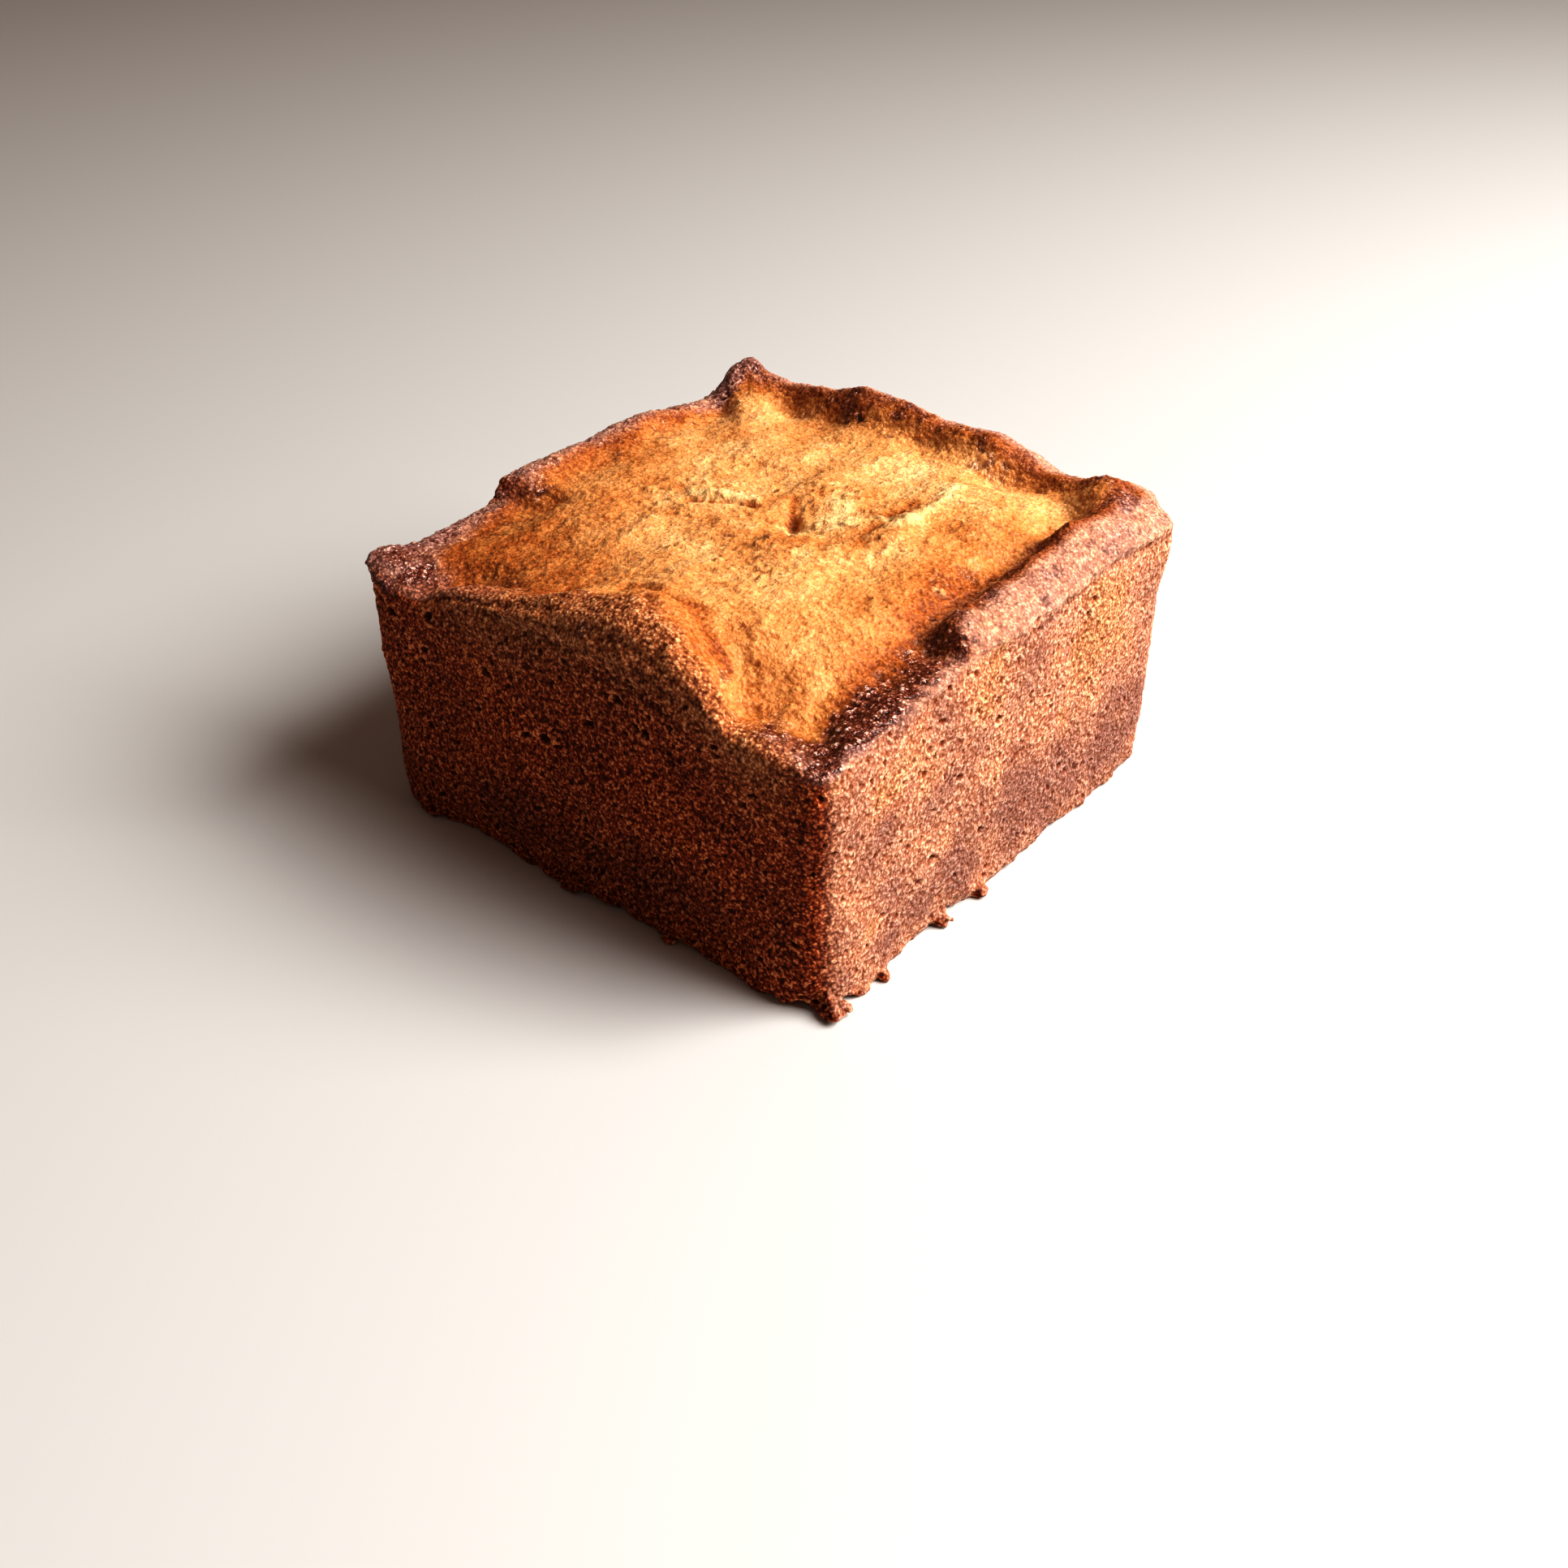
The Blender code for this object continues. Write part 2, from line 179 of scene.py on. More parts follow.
class Finish:
    """A material that is built one node at a time."""

    def __init__(self, name):
        self.material = bpy.data.materials.new(name)
        self.material.use_nodes = True
        self.material.node_tree.nodes.clear()

    def node(self, kind, settings, inputs, output=0):
        node = self.material.node_tree.nodes.new(kind)
        for name, setting in settings.items():
            if name == "stops":
                self.set_stops(node.color_ramp, setting)
            else:
                setattr(node, name, setting)
        for name, value in inputs.items():
            if isinstance(value, Value):
                self.material.node_tree.links.new(value.socket, node.inputs[name])
            else:
                node.inputs[name].default_value = value
        return Value(self, node.outputs[output]) if len(node.outputs) else node

    def set_stops(self, ramp, stops):
        while len(ramp.elements) < len(stops):
            ramp.elements.new(1.0)
        for element, (place, colour) in zip(ramp.elements, stops):
            element.position = place
            element.color = (*colour, 1.0)

    def painted(self, name):
        """A number kept on every point of the mesh."""
        return self.node("ShaderNodeAttribute", {"attribute_name": name}, {}, "Fac")

    def ramp(self, share, *stops):
        return self.node("ShaderNodeValToRGB", {"stops": stops}, {"Fac": share})

    def blend(self, share, first, second, mode="MIX"):
        settings = {"data_type": "RGBA", "blend_type": mode}
        return self.node("ShaderNodeMix", settings, {0: share, 6: first, 7: second}, 2)

    def noise(self, size):
        """Soft unevenness from 0 to 1, with swells of about this size."""
        place = self.node("ShaderNodeTexCoord", {}, {}, "Object")
        inputs = {"Vector": place, "Scale": 1.0 / size, "Detail": 3.0, "Roughness": 0.6}
        return self.node("ShaderNodeTexNoise", {}, inputs)

    def cells(self, size, crooked):
        """How far each place is from the middle of its cell: 0 there, and more towards the edge."""
        place = self.node("ShaderNodeTexCoord", {}, {}, "Object")
        shift = self.node("ShaderNodeTexNoise", {}, {"Vector": place, "Scale": 0.8 / size}, "Color")
        amount = {0: shift, "Scale": crooked * size}
        shift = self.node("ShaderNodeVectorMath", {"operation": "SCALE"}, amount)
        place = self.node("ShaderNodeVectorMath", {"operation": "ADD"}, {0: place, 1: shift})
        inputs = {"Vector": place, "Scale": 1.0 / size}
        return self.node("ShaderNodeTexVoronoi", {"feature": "F1"}, inputs, "Distance")

    def surface(self, inputs, over=None, share=0.0):
        """The finish of the inputs, with a share of a second finish over it if there is one."""
        shader = self.node("ShaderNodeBsdfPrincipled", {}, inputs)
        if over is not None:
            second = self.node("ShaderNodeBsdfPrincipled", {}, over)
            shader = self.node("ShaderNodeMixShader", {}, {0: share, 1: shader, 2: second})
        self.node("ShaderNodeOutputMaterial", {}, {"Surface": shader})
        return self.material


floor_finish = Finish("pale_floor")
floor_mesh.materials.append(
    floor_finish.surface({"Base Color": (0.62, 0.64, 0.65, 1.0), "Roughness": 0.6})
)

# %% [markdown]
# Crumb is uneven at every size, from the long swells of the walls to grains of sugar. Each size is
# drawn from a block of seeded random numbers that repeats far apart, so every run gives the same cake.
# `swells` blends the numbers at a cell's eight corners, which makes soft hills, and `layered` adds up
# some sizes of them. `spots` scatters a point in each cell and finds the nearest, which makes pores
# and grains.

# %% Draw the crumb's unevenness
BLOCK = 64  # cells each way before the random numbers repeat
TURNED, _ = np.linalg.qr(np.random.default_rng(3).normal(size=(3, 3)))  # so no swell lines up with a wall
TINY = 1e-6


def smooth_step(t):
    t = np.clip(t, 0.0, 1.0)
    return t * t * (3.0 - 2.0 * t)


def swells(points, size, seed):
    """Soft hills and hollows from -1 to 1, about this size across."""
    draws = np.random.default_rng(seed).random((BLOCK,) * 3)
    place = points @ TURNED / size
    cell = np.floor(place).astype(int)
    part = smooth_step(place - cell)
    total = np.zeros(len(points))
    for corner in itertools.product((0, 1), repeat=3):
        weight = np.prod(np.where(corner, part, 1.0 - part), axis=1)
        i, j, k = np.mod(cell + corner, BLOCK).T
        total += weight * draws[i, j, k]
    return 2.0 * total - 1.0


def layered(points, layers):
    """Swells of some sizes added up. A layer is a size in mm, how much it counts, and a seed."""
    return sum(amount * swells(points, size * MM, seed) for size, amount, seed in layers)


def spots(points, spacing, seed):
    """How far away the nearest scattered spot is, and that spot's own random number."""
    draw = np.random.default_rng(seed)
    offsets, numbers = draw.random((BLOCK,) * 3 + (3,)), draw.random((BLOCK,) * 3)
    cell = np.floor(points / spacing).astype(int)
    nearest, number = np.full(len(points), np.inf), np.zeros(len(points))
    for step in itertools.product((-1, 0, 1), repeat=3):
        i, j, k = np.mod(cell + step, BLOCK).T
        away = np.linalg.norm((cell + step + offsets[i, j, k]) * spacing - points, axis=1)
        closer = away < nearest
        nearest[closer], number[closer] = away[closer], numbers[i, j, k][closer]
    return nearest, number


# %% [markdown]
# Where the cake was lifted from its tin, bits of the base stayed caught and hang out as shreds, with a
# bigger lump at the front corner. On the top the skin broke open round the middle, and moist crumbs lie
# there. Both are clusters of small balls. Joined to the body before it is remeshed, they melt into it,
# as a separate piece laid against it would not.

# %% Write how balls and skins are made
SHREDS = (  # where each lies, how far it spreads along x, y and up, in mm, and how many crumbs it has
    (45.2, -17.6, 1.0, 1.2, 1.3, 0.7, 18),
    (45.8, -8.4, 0.8, 1.5, 0.8, 0.6, 18),
    (45.4, -33.0, 0.7, 1.0, 0.9, 0.5, 10),
    (45.4, -37.6, 0.8, 0.8, 1.2, 0.7, 12),
    (45.4, -43.6, 1.2, 1.6, 1.5, 1.1, 45),
    (42.6, -43.4, 0.9, 1.5, 1.3, 0.8, 18),
    (-34.5, -45.4, 0.8, 1.5, 0.8, 0.6, 12),
    (17.0, -46.2, 0.7, 1.3, 0.8, 0.5, 9),
    (-2.0, -46.0, 0.7, 1.6, 0.8, 0.5, 9),
    (20.0, 46.0, 0.7, 1.5, 0.8, 0.5, 10),
    (-46.0, 12.0, 0.7, 0.8, 1.6, 0.6, 10),
)
SHRED_SPREAD = 0.55  # how far out most of a shred's crumbs lie, as a share of how far it spreads
SHRED_CRUMB = (0.4, 0.85)  # from the middle of a ball to its skin, in mm


def balls(places, radii, draw):
    """One mesh of lumpy balls: a small sphere of triangles, stretched and dented anew for each."""
    model_ball = bmesh.new()
    bmesh.ops.create_icosphere(model_ball, subdivisions=2, radius=1.0)
    ball_points = np.array([vert.co for vert in model_ball.verts])
    ball_faces = np.array([[vert.index for vert in face.verts] for face in model_ball.faces])
    model_ball.free()
    stretch = draw.uniform(0.75, 1.3, (len(radii), 1, 3))
    dents = draw.uniform(0.88, 1.12, (len(radii), len(ball_points), 1))
    points = ball_points * stretch * dents * radii[:, None, None] + places[:, None]
    faces = ball_faces + len(ball_points) * np.arange(len(radii))[:, None, None]
    mesh = bpy.data.meshes.new("balls")
    mesh.from_pydata(points.reshape(-1, 3), [], faces.reshape(-1, 3))
    return mesh


def even_skin(mesh, name, cell):
    """The same body under small even quads, however steep the place."""
    holder = bpy.data.objects.new(name, mesh)
    bpy.context.scene.collection.objects.link(holder)
    remesh = holder.modifiers.new("even quads", "REMESH")
    remesh.mode = "VOXEL"
    remesh.voxel_size = cell
    depsgraph = bpy.context.evaluated_depsgraph_get()
    fine = bpy.data.meshes.new_from_object(holder.evaluated_get(depsgraph))
    bpy.data.objects.remove(holder)
    fine.name = name
    print(name, "quads:", len(fine.polygons))
    return fine


# %% [markdown]
# Everything that follows moves points and writes numbers on them, so it is done on whole arrays at
# once. Averaging each point with its neighbours rounds a surface off a little. The flat base is left
# out of that.

# %% Write how points are read, moved and rounded
ON_BASE = 0.12 * MM


def points_of(mesh):
    flat = np.empty(len(mesh.vertices) * 3)
    mesh.vertices.foreach_get("co", flat)
    return flat.reshape(-1, 3)


def normals_of(mesh):
    flat = np.empty(len(mesh.vertices) * 3)
    mesh.vertex_normals.foreach_get("vector", flat)
    return flat.reshape(-1, 3)


def move_points(mesh, points):
    mesh.vertices.foreach_set("co", points.ravel())
    mesh.update()


def neighbour_mean(mesh, values, rounds=1):
    """The mean of each point's neighbours along the edges, taken over some rounds."""
    ends = np.empty(len(mesh.edges) * 2, int)
    mesh.edges.foreach_get("vertices", ends)
    first, second = ends.reshape(-1, 2).T
    count = np.maximum(np.bincount(ends, minlength=len(values)), 1)[:, None]
    mean = values.reshape(len(values), -1)
    for _ in range(rounds):
        sums = [
            np.bincount(first, c[second], len(values)) + np.bincount(second, c[first], len(values))
            for c in mean.T
        ]
        mean = np.stack(sums, axis=1) / count
    return mean.reshape(values.shape)


def round_off(mesh, rounds, share=0.6):
    """Take the facets off, and leave the flat base where it is."""
    points = points_of(mesh)
    on_base = points[:, 2] < ON_BASE
    for _ in range(rounds):
        softer = neighbour_mean(mesh, points)
        softer[on_base] = points[on_base]
        points = points * (1.0 - share) + softer * share
    move_points(mesh, points)


# %% [markdown]
# The model is cut into cells of 2 mm, too coarse for crumb. A first voxel remesh of half a millimetre
# is only there to be rounded off, which takes the model's facets away. Then the crumbs go on, and a
# second, finer remesh joins them to the body. Its quads are a third of a millimetre, the size of the
# finest grains that show.

# %% Round the model off
COARSE, FINE = 0.53 * MM, 0.36 * MM
SOFTEN_ROUNDS = 4

rounded = even_skin(model.data.copy(), "rounded_body", COARSE)
round_off(rounded, SOFTEN_ROUNDS)

# %% [markdown]
# The crumbs on the top lie in small clumps, thickest near the middle. Each is dropped straight down
# onto the rounded body and sunk a bit more than halfway, or it would only touch it at a point.

# %% Lay crumbs on it and cover all of it again
TOP_CRUMBS, CLUMP_CRUMBS = 620, 8
CRUMBS_MIDDLE, CRUMBS_REACH = (4.0, 1.0), (15.0, 12.0)  # along x and y, in mm
CLUMP_REACH, CRUMB_SIZE = 1.1, (0.35, 0.8)  # in mm; a crumb's size is from its middle to its skin
CRUMB_SUNK = 0.45  # how far below the surface its middle lies, as a share of its size
DROPPED_FROM = 90.0  # in mm

body = bmesh.new()
body.from_mesh(rounded)
tree = BVHTree.FromBMesh(body)
crumb_draw = np.random.default_rng(8)
places, radii = [], []
for x, y, z, along_x, along_y, upward_z, count in SHREDS:
    radii.append(crumb_draw.uniform(*SHRED_CRUMB, count))
    spread = crumb_draw.normal(size=(count, 3)) * (along_x, along_y, upward_z) * SHRED_SPREAD
    places.append(spread + (x, y, z))
    places[-1][:, 2] = np.maximum(places[-1][:, 2], radii[-1])

clumps = crumb_draw.normal(size=(TOP_CRUMBS // CLUMP_CRUMBS, 2)) * CRUMBS_REACH + CRUMBS_MIDDLE
for index in range(TOP_CRUMBS):
    x, y = clumps[index % len(clumps)] + crumb_draw.normal(size=2) * CLUMP_REACH
    found = tree.ray_cast(Vector((x, y, DROPPED_FROM)) * MM, Vector((0.0, 0.0, -1.0)))[0]
    if found is not None:
        radii.append([crumb_draw.uniform(*CRUMB_SIZE)])
        places.append([(x, y, found.z / MM - CRUMB_SUNK * radii[-1][0])])
body.from_mesh(balls(np.concatenate(places) * MM, np.concatenate(radii) * MM, crumb_draw))
crumbed = bpy.data.meshes.new("crumbed_body")
body.to_mesh(crumbed)
body.free()
skin = even_skin(crumbed, "cake_skin", FINE)
round_off(skin, 1)

# %% [markdown]
# The flat underside needs no small quads, so they give way to one face. A crumb that touches nothing
# would hang in the air, so only what hangs together with the top is kept.

# %% Tidy the skin
def tidy_skin(mesh):
    shell = bmesh.new()
    shell.from_mesh(mesh)
    reached, ahead = set(), [max(shell.verts, key=lambda vert: vert.co.z)]
    while ahead:
        vert = ahead.pop()
        if vert not in reached:
            reached.add(vert)
            ahead.extend(edge.other_vert(vert) for edge in vert.link_edges)
    adrift = [vert for vert in shell.verts if vert not in reached]
    bmesh.ops.delete(shell, geom=adrift, context="VERTS")
    under = [face for face in shell.faces if all(vert.co.z < ON_BASE for vert in face.verts)]
    bmesh.ops.delete(shell, geom=under, context="FACES")
    unused = [vert for vert in shell.verts if not vert.link_faces]
    bmesh.ops.delete(shell, geom=unused, context="VERTS")
    open_edges = [edge for edge in shell.edges if edge.is_boundary]
    filled = bmesh.ops.holes_fill(shell, edges=open_edges, sides=0)["faces"]
    bmesh.ops.recalc_face_normals(shell, faces=shell.faces[:])
    shell.to_mesh(mesh)
    print("points adrift:", len(adrift), "quads under:", len(under), "faces in their place:", len(filled))
    shell.free()


tidy_skin(skin)
points = points_of(skin)
print("points:", len(points))

# %% [markdown]
# The crust rim is what divides the skins, so its crest is measured on the skin: the highest place
# within a few millimetres of the walls, in small steps all the way round. A place's turn says how far
# round it lies: 0 at the left corner, 1 at the front one, then 2 right and 3 back.

# %% Find the crest of the rim
STEPS_ROUND, SMOOTH_ROUNDS = 184, 3
CREST_WITHIN = (  # turn, and how far from the wall the crest may lie, in mm
    (0.0, 4.8),
    (0.42, 4.8),
    (0.52, 7.0),
    (0.74, 7.0),
    (0.82, 4.8),
)
NEARER_COUNTS = 0.15  # how much lower a place may be for lying 1 nearer the wall
RIM_ABOVE = 30.0 * MM
HALF_WIDE = 46.0 * MM


def ring_and_turn(points):
    """How near the edge each point is, 0 in the middle to 1 on the walls, and how far round."""
    x, y = points[:, 0] / HALF_WIDE, points[:, 1] / HALF_WIDE
    ring = np.maximum(np.maximum(np.abs(x), np.abs(y)), TINY)
    x, y = x / ring, y / ring
    sides = [(y <= -1.0 + TINY), (x >= 1.0 - TINY), (y >= 1.0 - TINY)]
    turns = [(1.0 + x) / 2.0, 1.0 + (1.0 + y) / 2.0, 2.0 + (1.0 - x) / 2.0]
    return ring, np.select(sides, turns, 3.0 + (1.0 - y) / 2.0)


def round_the_rim(turn, table):
    """Read a table of turns and values at any turn."""
    places, values = np.array(table).T
    return np.interp(turn, places, values, period=4.0)


ring, turn = ring_and_turn(points)
inset = (1.0 - ring) * HALF_WIDE
near_rim = (inset < round_the_rim(turn, CREST_WITHIN) * MM) & (points[:, 2] > RIM_ABOVE)
step = np.minimum((turn * STEPS_ROUND / 4.0).astype(int), STEPS_ROUND - 1)
step_places = (np.arange(STEPS_ROUND) + 0.5) * 4.0 / STEPS_ROUND
crest_heights, crest_insets = np.zeros(STEPS_ROUND), np.zeros(STEPS_ROUND)
for index in range(STEPS_ROUND):
    here = np.flatnonzero(near_rim & (step == index))
    top = here[np.argmax(points[here, 2] - NEARER_COUNTS * inset[here])]
    crest_heights[index], crest_insets[index] = points[top, 2], inset[top]
for _ in range(SMOOTH_ROUNDS):
    for values in (crest_heights, crest_insets):
        values[:] = (np.roll(values, 1) + 2.0 * values + np.roll(values, -1)) / 4.0
crest_height = np.interp(turn, step_places, crest_heights, period=4.0)
crest_inset = np.interp(turn, step_places, crest_insets, period=4.0)
past_crest = inset - crest_inset
below_crest = crest_height - points[:, 2]
# from_crest is below zero outside the crest, where a place's height counts too
from_crest = np.where(past_crest > 0.0, past_crest, -np.hypot(past_crest, below_crest))
print("crest, mm: heights", np.round([crest_heights.min() / MM, crest_heights.max() / MM], 1))

# %% [markdown]
# With the crest known, three shares say which skin a place wears: wall, rim or golden top. The
# borders wander, because crust creeps in and out. How far the dark crust reaches in from the crest
# differs from side to side, so it is a short table read all the way round. Where the front left rim
# rolled over gently, the gold comes right up to the crest, so the reach there is next to nothing. A
# second table says how far the crust hangs down outside, where the crest is too low to reach the edge
# that the tin left.

# %% Share the surface between wall, rim and golden top
CRUST_REACH = (  # turn, and how far inside the crest the dark crust ends, in mm
    (0.0, 7.0),
    (0.12, 4.2),
    (0.3, 4.0),
    (0.42, 2.4),
    (0.55, 0.3),
    (0.78, 0.3),
    (0.88, 1.6),
    (1.0, 3.0),
    (1.3, 4.0),
    (1.42, 5.5),
    (1.8, 5.5),
    (2.0, 4.2),
    (2.2, 1.0),
    (2.9, 0.8),
    (2.97, 3.5),
    (3.03, 3.5),
    (3.1, 1.8),
    (3.3, 1.4),
    (3.6, 1.4),
    (3.85, 3.2),
)
CRUST_FOOT = (  # turn, and how far below a low crest the crust ends outside, in mm
    (0.0, 0.8),
    (0.05, 2.0),
    (0.11, 2.8),
    (0.15, 1.8),
    (0.55, 1.2),
    (3.9, 1.2),
)
TIN_EDGE = 42.3 * MM
FOOT_BORDER, GOLD_BORDER = 1.6 * MM, 3.2 * MM  # how wide the skins fade into each other
GOLD_OVER = 4.0 * MM  # how far past the crest the gold may come at most
BORDER_WANDER = ((5.0, 0.8, 31), (2.0, 0.5, 32))

crust_reach = round_the_rim(turn, CRUST_REACH) * MM
crust_foot = np.minimum(TIN_EDGE, crest_height - round_the_rim(turn, CRUST_FOOT) * MM)
wander = layered(points, BORDER_WANDER)
above_foot = smooth_step((points[:, 2] - crust_foot) / FOOT_BORDER + 0.5 + 0.4 * wander)
golden = smooth_step((from_crest - crust_reach) / GOLD_BORDER + 0.5 + 0.5 * wander)
golden *= (from_crest > -GOLD_OVER) & (points[:, 2] > RIM_ABOVE)
rim = above_foot * (1.0 - golden)
wall = (1.0 - above_foot) * (1.0 - golden)
print("points mostly wall, rim, golden:", [(share > 0.5).sum() for share in (wall, rim, golden)])

# %% [markdown]
# Where the rim was thinnest and lowest it burnt: along the front of the right wall and round the
# front corner it is nearly black. Elsewhere the sugar in it only turned to a purplish brown glaze, as
# on the left tip and the back peak. Two tables say how much of each there is round the rim. Swells break
# the edges up, and a steep step turns the sum into patches.

# %% Mark the burnt and the glazed places
BURNT = (  # turn, and how burnt the rim is there
    (0.0, 0.8),
    (0.06, 0.5),
    (0.14, 0.05),
    (0.4, 0.0),
    (0.84, 0.0),
    (0.9, 0.4),
    (0.98, 0.6),
    (1.08, 1.0),
    (1.26, 0.85),
    (1.36, 0.4),
    (1.42, 0.1),
    (1.95, 0.0),
    (2.1, 0.15),
    (2.5, 0.2),
    (3.0, 0.1),
    (3.8, 0.1),
    (3.95, 0.3),
)
GLAZED = (  # turn, and how glazed
    (0.0, 1.0),
    (0.08, 0.7),
    (0.16, -0.3),
    (0.84, -0.3),
    (0.92, 0.5),
    (1.0, 0.9),
    (1.2, 0.25),
    (1.4, 0.1),
    (1.85, 0.2),
    (2.1, 0.1),
    (2.8, 0.1),
    (3.0, 1.0),
    (3.1, 0.6),
    (3.6, 0.5),
    (3.85, 0.8),
)
BURNT_WIDE, BURNT_MIDDLE = 3.1 * MM, 1.8 * MM  # half the strip's width, and its middle inside the crest
BURNT_PATCHES = ((3.0, 0.5, 41), (1.2, 0.4, 42))
GLAZED_PATCHES = ((3.5, 0.5, 43), (1.4, 0.3, 44))

across = np.abs(from_crest - BURNT_MIDDLE) / BURNT_WIDE
burnt = round_the_rim(turn, BURNT) * (1.35 - 0.45 * across ** 2) + layered(points, BURNT_PATCHES)
burnt = smooth_step((burnt - 0.6) * 1.3 + 0.5) * (rim + golden)
glazed = round_the_rim(turn, GLAZED) + layered(points, GLAZED_PATCHES)
glazed = smooth_step((glazed - 0.5) * 1.6 + 0.5) * rim
print("burnt points:", (burnt > 0.5).sum(), "glazed:", (glazed > 0.5).sum())

# %% [markdown]
# Bubbles in the crumb show on the walls as pits. Pores are scattered and round, and some ran together
# into flat slots along the wall. For a slot the heights are stretched before the spots are looked up,
# so that a round spot there is a long low one on the cake. The largest holes are listed one by one.

# %% Press pores, slots and holes into the walls
PORES = {"spacing": 2.0 * MM, "share": 0.42, "size": (0.35, 0.7), "seed": 51}
SLOTS = {"spacing": 5.0 * MM, "share": 0.16, "size": (0.8, 1.5), "seed": 52}
PORE_DEPTH, SLOT_DEPTH, HOLE_DEPTH = 0.5 * MM, 0.6 * MM, 0.9 * MM
SLOT_SQUEEZE, HOLE_SQUEEZE = 3.0, 1.5  # how many times lower than wide they come out
PIT_STEEPNESS = 1.6  # above 1, a pit has a flat bottom and steeper sides
WALL_SWELLS = ((8.0, 0.22, 53), (3.2, 0.16, 54))
HOLES = (  # x, y and z on a wall, and half the hole's width, in mm
    (46.0, -14.8, 24.3, 1.0),
    (46.0, -24.2, 11.4, 1.2),
    (46.0, -9.3, 12.2, 1.1),
    (46.0, 4.4, 2.8, 0.9),
    (46.0, -6.2, 30.0, 1.0),
    (46.0, -28.9, 33.1, 0.7),
    (46.0, -33.2, 34.1, 0.7),
    (46.0, -28.6, 30.5, 0.7),
    (46.0, -26.0, 10.7, 0.8),
    (46.0, -15.3, 7.1, 1.2),
    (46.0, -21.3, 21.8, 0.7),
    (46.0, 13.1, 11.9, 0.9),
    (46.0, -21.1, 13.9, 1.1),
    (-17.0, -46.0, 32.4, 1.3),
    (-20.1, -46.0, 25.0, 0.9),
    (-37.1, -46.0, 35.9, 1.5),
    (-28.8, -46.0, 37.9, 1.4),
    (-30.7, -46.0, 31.6, 1.1),
    (10.1, -46.0, 38.0, 1.1),
    (3.4, -46.0, 31.8, 1.2),
    (15.0, -46.0, 35.0, 1.2),
    (-9.5, -46.0, 24.9, 1.2),
    (-5.5, -46.0, 25.7, 1.1),
    (12.7, -46.0, 42.2, 0.9),
)


def dent(away, radius):
    """1 at the bottom of a round pit, falling to 0 at its edge."""
    return smooth_step(PIT_STEEPNESS * (1.0 - away / radius))


def pits(points, spacing, share, size, seed):
    """Pits at a share of the scattered spots, from the smaller to the larger size in mm."""
    away, number = spots(points, spacing, seed)
    radius = (size[0] + (size[1] - size[0]) * number / share) * MM
    return np.where(number < share, dent(away, radius), 0.0)


def wobble(points, size, amount, seed):
    """The points moved about a little, so that what is round there comes out crooked."""
    return points + amount * np.stack([swells(points, size, seed + axis) for axis in range(3)], axis=1)


crooked = wobble(points, 1.1 * MM, 0.45 * MM, 45)
pores = pits(crooked, **PORES)
slots = pits(crooked * (1.0, 1.0, SLOT_SQUEEZE), **SLOTS)
holes = np.zeros(len(points))
for x, y, z, half_width in HOLES:
    offset = (crooked - np.array((x, y, z)) * MM) * (1.0, 1.0, HOLE_SQUEEZE)
    facing = np.array((x, y)) * MM / HALF_WIDE
    into_wall = facing * (np.abs(facing) > 0.99)  # how deep a point lies in the wall doesn't count
    offset[:, :2] -= (offset[:, :2] @ facing)[:, None] * into_wall
    holes = np.maximum(holes, dent(np.linalg.norm(offset, axis=1), half_width * MM))
# pit marks where pores, slots and holes get painted shade, a dark colour in the hollow
pit = np.maximum(np.maximum(pores, slots) * wall, holes)
relief = -(pores * PORE_DEPTH + slots * SLOT_DEPTH) * wall - holes * HOLE_DEPTH
relief += wall * layered(points, WALL_SWELLS) * MM
print("points in pits:", (pit > 0.3).sum())

# %% [markdown]
# Crumb stands up in grains of about a millimetre all over the cake. A grain is a small dome round a
# scattered spot. The sum of a coarse and a fine layer looks less regular than either of them.

# %% Raise the grains
COARSE_GRAINS, FINE_GRAINS = (1.1 * MM, 0.62, 55), (0.72 * MM, 0.65, 56)  # spacing, reach and seed
GRAIN_HEIGHT, GRAINS_SUNK = 0.16, 0.1  # in mm; sunk, so that the cake grows no larger
FINEST_SWELLS, TOP_FINE_SWELLS = ((0.9, 0.1, 57),), ((1.6, 0.12, 58),)
TOP_GRAINIER, BURNT_SMOOTHER = 1.5, 0.3


def grains(points, spacing, reach, seed):
    """Small domes, 0 to 1, round spots this far apart; their reach is a share of the spacing."""
    away, number = spots(points, spacing, seed)
    return np.clip(1.0 - (away / (reach * spacing)) ** 2, 0.0, 1.0) * (0.35 + 0.65 * number)


grainy = GRAIN_HEIGHT * (grains(crooked, *COARSE_GRAINS) + grains(points, *FINE_GRAINS))
grainy += layered(points, FINEST_SWELLS) - GRAINS_SUNK
relief += (wall + rim * (1.0 - BURNT_SMOOTHER * burnt)) * grainy * MM
relief += golden * (TOP_GRAINIER * grainy + layered(points, TOP_FINE_SWELLS)) * MM
print("grain relief, mm:", np.round([grainy.min(), grainy.max()], 2))

# %% [markdown]
# The rim is crust: soft lumps, with blisters like small domes where it burnt, and low folds where it
# sagged over the tin's edge. A fold runs from one turn to another, and may rise or sink on the way. The
# one with a depth below zero is a thin flap that stands out, under the left tip.

